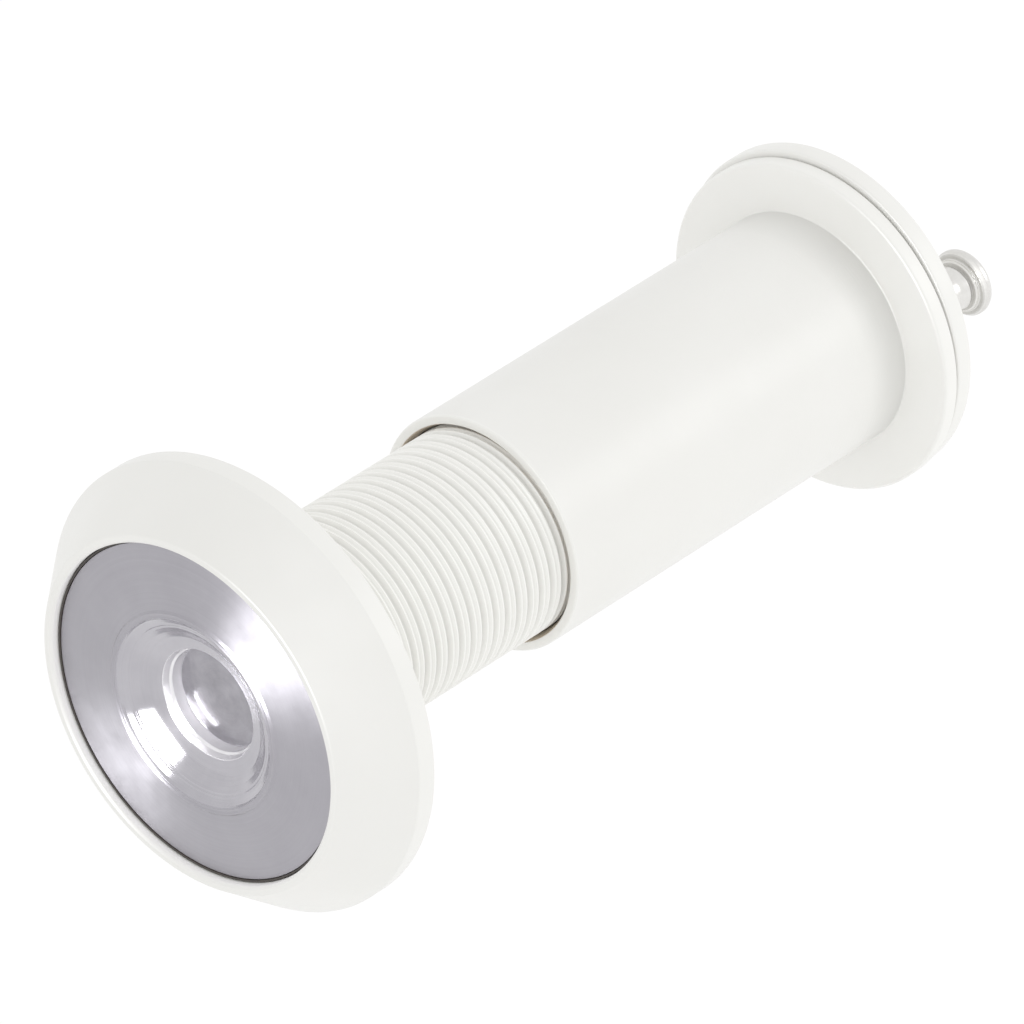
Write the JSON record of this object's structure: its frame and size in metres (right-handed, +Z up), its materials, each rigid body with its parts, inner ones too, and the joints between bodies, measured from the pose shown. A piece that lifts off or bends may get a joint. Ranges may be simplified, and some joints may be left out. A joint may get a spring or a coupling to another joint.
{
  "type": "door viewer",
  "caption": "Adjustable door peephole: conical bezel with lens, threaded barrel, screw-on sleeve with flange, and a pivoting privacy cover with a knob.",
  "frame": {"origin": "centre of the bezel's back face, where it rests on the outer face of the door", "axes": "+Y along the optical axis from the street to the room, +Z up, +X to the right seen from the street"},
  "size_m": [0.0264, 0.0561, 0.0264],
  "materials": {
    "white_paint": "satin warm-white powder coat on turned brass",
    "optical_glass": "polished clear glass",
    "turned_mirror": "bright, finely turned in circles",
    "black_metal": "matt black anodised",
    "bright_nickel": "polished nickel plate",
    "seal_rubber": "matt",
    "washer_nylon": "natural nylon"
  },
  "bodies": {
    "barrel": {"outer_barrel": "white_paint", "front_seal_ring": "seal_rubber", "front_lens": "optical_glass", "reflector_ring": "turned_mirror", "stack_retaining_ring": "turned_mirror", "second_lens": "optical_glass", "lens_spacer": "black_metal", "third_lens": "optical_glass", "light_baffle": "black_metal", "relay_lens": "optical_glass", "barrel_retaining_ring": "black_metal"},
    "eyepiece": {"eyepiece_stop": "black_metal", "eyepiece_seal": "seal_rubber", "eyepiece_lens": "optical_glass"},
    "sleeve": {"sleeve": "white_paint", "eyepiece_retaining_ring": "black_metal", "pivot_rivet": "bright_nickel", "pivot_friction_washer": "washer_nylon", "pivot_spring_washer": "bright_nickel"},
    "cover": {"privacy_cover": "white_paint", "cover_knob": "bright_nickel"}
  },
  "joints": [
    {"name": "sleeve_travel", "type": "slide", "parent": "barrel", "child": "eyepiece", "axis": [0, 1, 0], "range_m": [-0.0102, 0.0097]},
    {"name": "sleeve_turn", "type": "hinge", "parent": "eyepiece", "child": "sleeve", "pos_m": [0, 0.0227, 0], "axis": [0, 1, 0], "range_deg": [-4048, 3849]},
    {"name": "cover_swing", "type": "hinge", "parent": "sleeve", "child": "cover", "pos_m": [-0.0076, 0.047, -0.00307], "axis": [0, 1, 0], "continuous": true}
  ],
  "couplings": [
    {"joint": "sleeve_travel", "follows": "sleeve_turn", "m_per_rad": 0.00014435}
  ]
}
